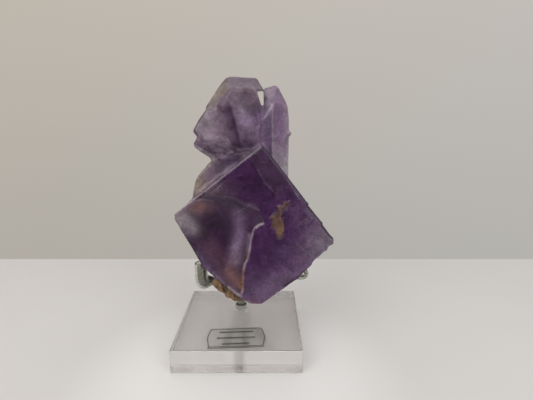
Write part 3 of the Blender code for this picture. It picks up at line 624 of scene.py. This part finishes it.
cube_layers = [
    (spot(face, (8.0, 14.0), (10, 8)), "deep", 0.85),
    (spot(face, (-2.5, 21.0), (6.5, 3.6), -0.6), "smoky", 0.95),
    (beyond_ridge, "purple", 0.8),
    (spot(face, (4.0, -12.5), (8, 4)), "amethyst", 0.7),
    (step(face[:, 0], 9.0, 18.0) * (1 - step(face[:, 1], -6, 6)), "violet", 0.9),
    (step(-face[:, 1], 13.0, 20.0) * (1 - 0.5 * step(-face[:, 0], 10, 20)), "orchid", 0.9),
    (spot(face, (18.5, -18.5), (8, 5.5)), "pale", 0.95),
    (hollow, "deep", 0.95),
    # painted shade: the dark core of the hollow
    (spot(face, (-9.0, 12.0), (5.5, 5.0)), "ink", 0.9),
    (streak(face, [(-10.0, 10.0), (-11.5, 6.0), (-12.6, 1.0)], 2.6), "deepest", 0.85),
    (spot(face, (-15.0, 12.0), (2.2, 4.0)), "umber", 0.8),
    (spot(face, (-16.4, 3.6), (3.6, 5.4)), "rosy", 0.85),
    (streak(face + wander, [(5.2, 5.6), (1.3, 4.3), (-1.0, 2.4)], 1.9) * hollow, "grape", 0.85),
    # painted light: this layer and the next three lay a lilac glow along the band
    (painted_glow_band, "orchid", 0.95),
    (spot(face, (-5.6, 1.4), (3.4, 2.0), 0.75) * hollow, "heather", 0.85),
    (spot(face, (-8.6, -0.6), (2.6, 2.0), 0.75) * hollow, "wisteria", 0.85),
    (spot(face, (-12.0, -4.4), (3.8, 2.6), 0.75) * hollow, "lilac", 0.9),
    (spot(face, (-16.8, -8.0), (3.0, 4.8)) * hollow, "copper", 0.9),
    (spot(face, (-18.0, 20.3), (4.4, 3.8)), "milk", 0.95),
    (spot(face, (-16.8, 15.8), (2.4, 3.6)), "ash", 0.85),
    (spot(face, (-9.8, 19.6), (4.2, 3.0), -0.6) * hollow, "copper", 0.9),
    (streak(face, [(-21.6, 7.0), (-22.2, 2.0), (-21.7, -3.0)], 0.8) * front, "violet", 0.85),
    (streak(face, [(-21.6, -3.5), (-21.0, -10.0), (-19.4, -16.0)], 0.9) * front, "mauve", 0.85),
    (
        streak(face + 0.5 * wander, [(-20.4, -10.5), (-19.6, -13.5), (-18.7, -16.0)], 0.45) * front,
        "milk",
        0.7,
    ),
    (
        streak(face + 0.4 * wander, [(-19.0, 22.2), (-9.5, 22.0), (-6.9, 21.0), (-4.2, 18.2)], 0.3) * front,
        "paler",
        0.6,
    ),
    # painted shade on the rim's slope
    (rim_slope_shade, "deep", 0.7),
    # painted shade: a dark outline along the cube's lower-left edge
    (streak(face, [(-19.4, 21.5), (-22.2, 5.6), (-22.9, 1.8)], 0.45), "night", 0.8),
    (
        streak(face + 0.5 * wander, [(14.9, 20), (14.6, 16.8), (13.8, 11.7), (14.3, 7.1), (12.7, 3.8)], 0.3),
        "deepest",
        0.7,
    ),
    (streak(face + 0.5 * wander, [(15.3, 17.0), (14.3, 12.0), (14.8, 7.6)], 0.25), "mauve", 0.6),
    (streak(face + 0.5 * wander, [(-2.3, 9.7), (5.3, 8.8), (6.4, 5.6)], 0.3), "heather", 0.55),
    (streak(face, [(15.3, -7.6), (17.1, -7.6), (18.8, -8.4)], 0.25), "heather", 0.6),
    # painted light: a lighter lilac on the hollow's steep wall, lifting it out of its shade
    (wall * (0.75 + 0.45 * lumps(points, 1.6, 27)), "orchid", 0.85),
    (wall * step(-face[:, 0], 4.6, 5.6), "earth", 0.85),
    # painted highlight: this layer and the next lay a light line along the hollow's sharp lip
    (streak(face, [(-2.2, -0.2), (-5.4, -3.2), (-7.6, -5.4)], 0.8) * front, "wisteria", 0.75),
    (lip * step(lumps(points, 1.4, 29), -0.5, 0.1), "milk", 0.85),
    (rust, "rust", 0.85),
    (rust * step(rough(points, 1.4, 63), 0.1, 0.5), "tan", 0.7),
    (iron, "bark", 0.95),
    (iron * spot(face, (10.0, 0.0), (1.8, 1.5)), "bark", 0.7),
    (iron * step(rough(points, 1.2, 65), 0.0, 0.4), "earth", 0.6),
    (iron * step(rough(points, 0.9, 67), 0.15, 0.4), "pitch", 0.6),
    (iron * spot(face, (7.4, -5.6), (1.8, 2.4)), "clay", 0.6),
    (
        iron * streak(face, [(13.2, 2.0), (12.6, -0.2), (10.9, -1.6), (9.9, -4.4), (8.0, -7.0)], 0.3),
        "clay",
        0.5,
    ),
    (streak(face, [(9.6, -13.4), (10.6, -17.2), (11.6, -20.4)], 0.25) * front, "pale", 0.35),
    # frosted edges, with a painted highlight along the upper-left edge
    (frost_and_highlight_edge, "milk", 0.85),
    # painted shade on the cube's side faces
    (shaded_side_face, "night", 0.9),
]
# The valley between the upper crystals: painted shade darkens its left side and its floor
valley = [(2.2, 80), (1.2, 87.1), (0.1, 90.9), (-1.0, 95.5), (-2.1, 99.2), (-3.5, 102.2), (-6.0, 106)]
valley_x = np.interp(seen[:, 1], [z for x, z in valley], [x for x, z in valley])
off_valley = seen[:, 0] - valley_x + 0.6 * wander[:, 0]
shade_left_of_valley = np.exp(-((np.minimum(off_valley, 0) / 4.6) ** 2)) * (1 - step(off_valley, -0.3, 0.7))
shade_left_of_valley *= 1 - step(seen[:, 1], 99.0, 104.0)
upper_layers = [
    (step(-off_valley, -0.5, 0.5), "lilac", 0.9),
    (step(seen[:, 1], 102, 106), "smoky", 0.9),
    (spot(seen, (-13.0, 93.5), (4.5, 5.5)), "ash", 0.95),
    (spot(seen, (-8.0, 104.6), (6.5, 2.4), 0.95), "sand", 0.9),
    (spot(seen, (3.0, 109.8), (7, 1.7)), "purple", 0.85),
    (spot(seen, (-1.5, 109.0), (2.5, 2.0)), "smoky", 0.7),
    (spot(seen, (-5.2, 105.7), (1.5, 0.9), 0.8), "clay", 0.75),
    (spot(seen, (-5.6, 102.8), (2.6, 1.0), 0.3), "smoky", 0.6),
    (spot(seen, (-9.0, 104.2), (1.2, 0.7), 0.9), "cream", 0.8),
    (spot(seen, (-0.2, 102.0), (2.8, 3.0)), "lilac", 0.8),
    (spot(seen, (2.2, 98.5), (2.6, 3.5)), "pale", 0.85),
    (spot(seen, (4.2, 94.0), (3.6, 2.8)), "wisteria", 0.95),
    (spot(seen, (2.4, 89.0), (2.6, 2.6)), "mauve", 0.8),
    (spot(seen, (6.8, 101.0), (2.6, 4.0)), "smoky", 0.9),
    (spot(seen, (8.4, 96.5), (2.2, 2.6)), "violet", 0.85),
    (spot(seen, (9.0, 106.4), (2.0, 0.9)), "paler", 0.8),
    (spot(seen, (10.0, 91.0), (2.4, 5.0)), "orchid", 0.9),
    # painted shade on the left of the valley
    (shade_left_of_valley, "purple", 0.95),
    (streak(seen, [(-12.2, 100.0), (-17.4, 91.0), (-15.6, 88.6), (-13.6, 88.2)], 0.9), "umber", 0.8),
    (torn, "smoky", 0.8),
    # painted shade in the torn pits and painted highlights on the torn crests, this layer and the next three
    (torn * step(-torn_relief, 0.02, 0.3), "deepest", 0.8),
    (torn * step(fine_tears, 0.15, 0.5), "deepest", 0.55),
    (torn * step(-fine_tears, 0.25, 0.6), "paler", 0.5),
    (torn * step(torn_relief, 0.1, 0.35), "pale", 0.7),
    (spot(seen, (-9.7, 86.0), (4.0, 1.6)) * torn, "pale", 0.75),
    (spot(seen, (-4.8, 84.6), (2.6, 1.4)) * torn, "mauve", 0.5),
    (spot(seen, (1.1, 84.4), (3.4, 2.2)), "ink", 0.8),
    (spot(seen, (5.1, 85.6), (2.8, 2.2)), "deep", 0.75),
    (spot(seen, (-0.9, 80.5), (3.0, 1.6)), "deep", 0.6),
    # painted shade along the valley's floor
    (
        np.exp(-((off_valley / 0.8) ** 2)) * step(seen[:, 1], 84, 88) * (1 - step(seen[:, 1], 95, 98)),
        "deepest",
        0.6,
    ),
    (spot(seen, (12.4, 95.0), (0.9, 3.6)), "plum", 0.7),
    (spot(seen, (10.8, 87.8), (2.0, 2.6)), "heather", 0.8),
    (spot(seen, (-15.4, 86.6), (2.4, 2.2)), "lilac", 0.85),
    (streak(seen, [(-16.4, 85.0), (-13.0, 82.0), (-9.4, 80.4)], 0.8), "ash", 0.6),
    (
        step(seen[:, 0], 9.5, 11.5) * (1 - step(seen[:, 1], 97, 101)) * (1 - step(seen[:, 0], 13.4, 13.9)),
        "violet",
        0.85,
    ),
    (step(seen[:, 0], 9.5, 11.0) * step(seen[:, 1], 97, 101), "pale", 0.9),
    (step(seen[:, 0], 13.4, 14.2), "heather", 0.9),
    (step(seen[:, 0], 13.4, 14.2) * step(-seen[:, 1], -90, -80), "paler", 0.8),
    (step(seen[:, 0], 17.0, 19.5), "paler", 0.8),
    (streak(seen, [(13.7, 100.0), (14.2, 79.0)], 0.3), "milky", 0.6),
    (streak(seen, [(14.6, 101.6), (10.9, 95.9)], 0.35), "milky", 0.7),
    (streak(seen, [(15.1, 91.4), (16.6, 89.4), (15.1, 88.2)], 0.25), "milky", 0.6),
    (spot(seen, (14.6, 105.6), (3.0, 2.2)), "pale", 0.7),
    (1 - step(seen[:, 1], 76, 79.5), "lilac", 0.9),
    (spot(seen, (-3.0, 79.0), (4.0, 2.5)), "amethyst", 0.8),
    (spot(seen, (-15.6, 70.0), (3.8, 5.0)), "cream", 0.9),
    (streak(seen, [(-10.0, 79.4), (-14.5, 74.0), (-19.5, 68.0)], 1.4), "sand", 0.7),
    (spot(seen, (19.4, 74.8), (3.4, 4.6)), "frosty", 0.95),
]


def laid(layers, start, where):
    """Colours laid over one another: each moves the last towards its own by its weight times its most."""
    colours = np.broadcast_to(linear(TONES[start])[:3], (len(where), 3)).copy()
    for weight, tone, most in layers:
        colours += np.clip(weight * most, 0, 1)[:, None] * (np.array(linear(TONES[tone])[:3]) - colours)
    return colours


cube_colour = laid(cube_layers, "plum", front)
upper_colour = laid(upper_layers, "mauve", above)
tones = cube_colour + above[:, None] * (upper_colour - cube_colour)
tones = np.concatenate([tones, np.ones((len(tones), 1))], axis=1)
tone_layer = crystal_mesh.attributes.new("tone", "FLOAT_COLOR", "POINT")
tone_layer.data.foreach_set("color", tones.astype(np.float32).ravel())
opaque = np.maximum(rust, iron) + 0.5 * frost_and_highlight_edge + 0.5 * np.maximum(lip, wall) + shaded_side_face + 0.35 * above
frosted = 0.08 + 0.35 * hollow + 0.5 * frost_and_highlight_edge + 0.4 * torn + 0.7 * rust + 0.8 * iron + 0.4 * lip + 0.3 * above
frosted = np.clip(frosted, 0, 1) + 0.8 * shaded_side_face + 0.5 * rim_slope_shade + 0.6 * wall
masks = {"closed": np.clip(opaque, 0, 1), "frost": frosted}
for key, mask in masks.items():
    crystal_mesh.attributes.new(key, "FLOAT", "POINT").data.foreach_set("value", mask.astype(np.float32))

fluorite, tree, shader, place = new_finish("purple_fluorite", IOR=1.434)
tone = add(tree, "ShaderNodeAttribute", attribute_name="tone").outputs["Color"]
closed, frost = (add(tree, "ShaderNodeAttribute", attribute_name=key).outputs["Fac"] for key in masks)
# Wisps of deeper colour some 6 mm across run through the crystal, and fine milky clouds 1 mm across
wisps = add(tree, "ShaderNodeTexNoise", {"Vector": place, "Scale": 170.0, "Detail": 6.0, "Distortion": 1.2})
deeper = add(tree, "ShaderNodeMapRange", {0: wisps.outputs[0], 1: 0.35, 2: 0.65, 3: 0.72, 4: 1.25})
clouds = add(tree, "ShaderNodeTexNoise", {"Vector": place, "Scale": 1100.0, "Detail": 5.0, "Roughness": 0.7})
milk = add(tree, "ShaderNodeMapRange", {0: clouds.outputs[0], 1: 0.3, 2: 0.7, 3: 0.66, 4: 1.36})
both = add(tree, "ShaderNodeMath", {0: deeper.outputs[0], 1: milk.outputs[0]}, operation="MULTIPLY")
varied = add(tree, "ShaderNodeVectorMath", {0: tone, "Scale": both.outputs[0]}, operation="SCALE")
tree.links.new(varied.outputs[0], shader.inputs["Base Color"])
# Light goes into clean purple, less into milky and frosted places, and hardly at all into rust and iron
clear = add(tree, "ShaderNodeMapRange", {0: closed, 3: 0.5, 4: 0.0})
tree.links.new(clear.outputs[0], shader.inputs["Transmission Weight"])
dull = add(tree, "ShaderNodeMath", {0: frost, 1: 0.5, 2: 0.1}, operation="MULTIPLY_ADD")
tree.links.new(dull.outputs[0], shader.inputs["Roughness"])
# Low waves some 3 mm long on polished faces, and grains about 0.4 mm across where the face is frosted
uneven = add(tree, "ShaderNodeTexNoise", {"Vector": place, "Scale": 260.0, "Detail": 1.0})
grains = add(tree, "ShaderNodeMath", {0: clouds.outputs[0], 1: frost}, operation="MULTIPLY")
height = add(
    tree, "ShaderNodeMath", {0: uneven.outputs[0], 1: 0.7, 2: grains.outputs[0]}, operation="MULTIPLY_ADD"
)
relief = add(tree, "ShaderNodeBump", {"Height": height.outputs[0], "Strength": 0.3, "Distance": 0.0002})
tree.links.new(relief.outputs[0], shader.inputs["Normal"])
tint = add(tree, "ShaderNodeVolumeAbsorption", {"Color": (0.4, 0.0, 0.43, 1.0), "Density": 125.0})
tree.links.new(tint.outputs[0], tree.nodes["Material Output"].inputs["Volume"])
crystals = show("crystals", crystal_mesh, fluorite)
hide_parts("fluorite")

# The crust: ochre clay and iron oxides baked on the break where the crystal sat on its rock. It is dull,
# crumbly and soft-edged, pale yellow on high grains and dark brown in its pits.

crust_mesh = fine_copy("matrix_crust", 0.3)
points, normals = read_points(crust_mesh)
grains = 0.4 * rough(points, 1.5, 71) - 0.25 * step(lumps(points, 0.8, 75), 0.3, 0.7)
away = step(normals @ (-0.7 * CUBE[0] - 0.7 * CUBE[1]), 0.0, 0.5)
low_end = np.exp(-(((points - (-1.0, -18.5, 28.5)) / 3.5) ** 2).sum(axis=1))
heave = np.minimum(grains, 0.12) + away * (0.3 + 0.25 * lumps(points, 2.0, 77) + 0.9 * low_end)
low, high = (np.array(corner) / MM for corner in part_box("matrix_crust"))
write_points(crust_mesh, np.clip(points + normals * heave[:, None], low - 0.9, high + 0.9))
crust_mesh.attributes.new("grain", "FLOAT", "POINT").data.foreach_set(
    "value", np.clip(0.5 + 1.4 * grains, 0, 1).astype(np.float32)
)
ochre, tree, shader, place = new_finish("ochre_earth", Roughness=0.95, Specular_IOR_Level=0.2)
high = add(tree, "ShaderNodeAttribute", attribute_name="grain")
specks = add(tree, "ShaderNodeTexNoise", {"Vector": place, "Scale": 900.0, "Detail": 6.0, "Roughness": 0.7})
mixed = add(
    tree, "ShaderNodeMix",
    {0: high.outputs["Fac"], 6: linear(0x3C2C22), 7: linear(0xA2866A)},
    data_type="RGBA",
)
yellow = add(tree, "ShaderNodeMapRange", {0: specks.outputs[0], 1: 0.5, 2: 0.72})
tone = add(
    tree, "ShaderNodeMix", {0: yellow.outputs[0], 6: mixed.outputs[2], 7: linear(0xA8814E)}, data_type="RGBA"
)
relief = add(tree, "ShaderNodeBump", {"Height": specks.outputs[0], "Strength": 0.9, "Distance": 0.0003})
tree.links.new(tone.outputs[2], shader.inputs["Base Color"])
tree.links.new(relief.outputs[0], shader.inputs["Normal"])
crust = show("crust", crust_mesh, ochre)
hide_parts("matrix_crust")

# The table: a pale painted board whose far edge lies 94 mm behind the block's middle.

table_paint, tree, shader, place = new_finish("white_table", Roughness=0.5)
# The paint is laid on whiter within some 60 mm of the middle: a painted pool of light round the block
wear = add(tree, "ShaderNodeTexNoise", {"Vector": place, "Scale": 12.0, "Detail": 4.0})
centred = add(tree, "ShaderNodeMapping", {"Vector": place, "Location": (0, 25 * MM, 0)})
reach = add(tree, "ShaderNodeVectorMath", {0: centred.outputs[0]}, operation="LENGTH")
paler_patch = add(
    tree, "ShaderNodeMapRange",
    {0: reach.outputs["Value"], 1: 70 * MM, 2: 30 * MM},
    interpolation_type="SMOOTHSTEP",
)
grey = add(
    tree, "ShaderNodeMix", {0: wear.outputs[0], 6: linear(0xE0DEDD), 7: linear(0xE6E4E3)}, data_type="RGBA"
)
tone = add(
    tree, "ShaderNodeMix", {0: paler_patch.outputs[0], 6: grey.outputs[2], 7: linear(0xFAF9F8)}, data_type="RGBA"
)
tree.links.new(tone.outputs[2], shader.inputs["Base Color"])
x, y = np.meshgrid(np.linspace(-900, 900, 7), np.linspace(-170, 94, 7))
table_mesh = bpy.data.meshes.new("table")
number = np.arange(49).reshape(7, 7)
table_mesh.from_pydata(
    np.stack([x, y, x * 0 - 0.02], axis=-1).reshape(-1, 3) * MM,
    [],
    np.stack([number[:-1, :-1], number[:-1, 1:], number[1:, 1:], number[1:, :-1]], axis=-1).reshape(-1, 4),
)
table_mesh.materials.append(table_paint)
table = bpy.data.objects.new("table", table_mesh)
bpy.context.scene.collection.objects.link(table)

# The room: a plain grey-cream wall behind, a bright ceiling and a dimmer room in front, as soft daylight.

world = bpy.data.worlds.new("room")
bpy.context.scene.world = world
world.use_nodes = True
tree = world.node_tree
direction = add(tree, "ShaderNodeTexCoord").outputs["Generated"]
axes = add(tree, "ShaderNodeSeparateXYZ", {0: direction})
ceiling = add(tree, "ShaderNodeMapRange", {0: axes.outputs[2], 1: 0.45, 2: 0.85})
height = add(tree, "ShaderNodeMapRange", {0: axes.outputs[2], 1: -0.36, 2: 0.27})
behind = add(tree, "ShaderNodeMapRange", {0: axes.outputs[1], 1: -0.2, 2: 0.5})
side = add(tree, "ShaderNodeMapRange", {0: axes.outputs[0], 1: -0.5, 2: 0.5})
low = add(
    tree, "ShaderNodeMix", {0: side.outputs[0], 6: linear(0xB0ABA3), 7: linear(0xB3B1AD)}, data_type="RGBA"
)
high = add(
    tree, "ShaderNodeMix", {0: side.outputs[0], 6: linear(0xBFB9AE), 7: linear(0xC2BDB7)}, data_type="RGBA"
)
wall = add(
    tree, "ShaderNodeMix", {0: height.outputs[0], 6: low.outputs[2], 7: high.outputs[2]}, data_type="RGBA"
)
room = add(
    tree, "ShaderNodeMix", {0: behind.outputs[0], 6: linear(0x3E3C3A), 7: wall.outputs[2]}, data_type="RGBA"
)
whole = add(
    tree, "ShaderNodeMix",
    {0: ceiling.outputs[0], 6: room.outputs[2], 7: (0.9, 0.88, 0.86, 1.0)},
    data_type="RGBA",
)
tree.links.new(whole.outputs[2], tree.nodes["Background"].inputs[0])
tree.nodes["Background"].inputs[1].default_value = 1.0


def lamp(name, place_mm, aim_mm, size_mm, watts, colour):
    """A square soft light that looks from one place to another."""
    data = bpy.data.lights.new(name, "AREA")
    data.size, data.energy, data.color = size_mm * MM, watts, linear(colour)[:3]
    made = bpy.data.objects.new(name, data)
    away = np.array(place_mm, float) - np.array(aim_mm, float)
    made.location = np.array(place_mm) * MM
    flat = math.hypot(away[0], away[1])
    made.rotation_euler = (math.atan2(flat, away[2]), 0, math.atan2(away[0], -away[1]))
    bpy.context.scene.collection.objects.link(made)


lamp("window", (-280, -400, 330), (0, 0, 40), 360, 0.95, 0xFFFCF8)
lamp("fill", (300, -420, 240), (0, 0, 40), 300, 0.75, 0xFCFCFF)

# The camera stands a little to the right and looks down by 12.35 degrees, as in the photograph.

camera = bpy.data.cameras.new("camera")
camera.lens, camera.sensor_width, camera.clip_start = 25.56, 36.0, 0.01
viewer = bpy.data.objects.new("camera", camera)
viewer.location = (11.5 * MM, -152.8 * MM, 95.8 * MM)
viewer.rotation_euler = (math.radians(90 - 12.35), 0, 0)
bpy.context.scene.collection.objects.link(viewer)
bpy.context.scene.camera = viewer

bpy.context.scene.view_settings.view_transform = "Standard"

bpy.context.view_layer.update()
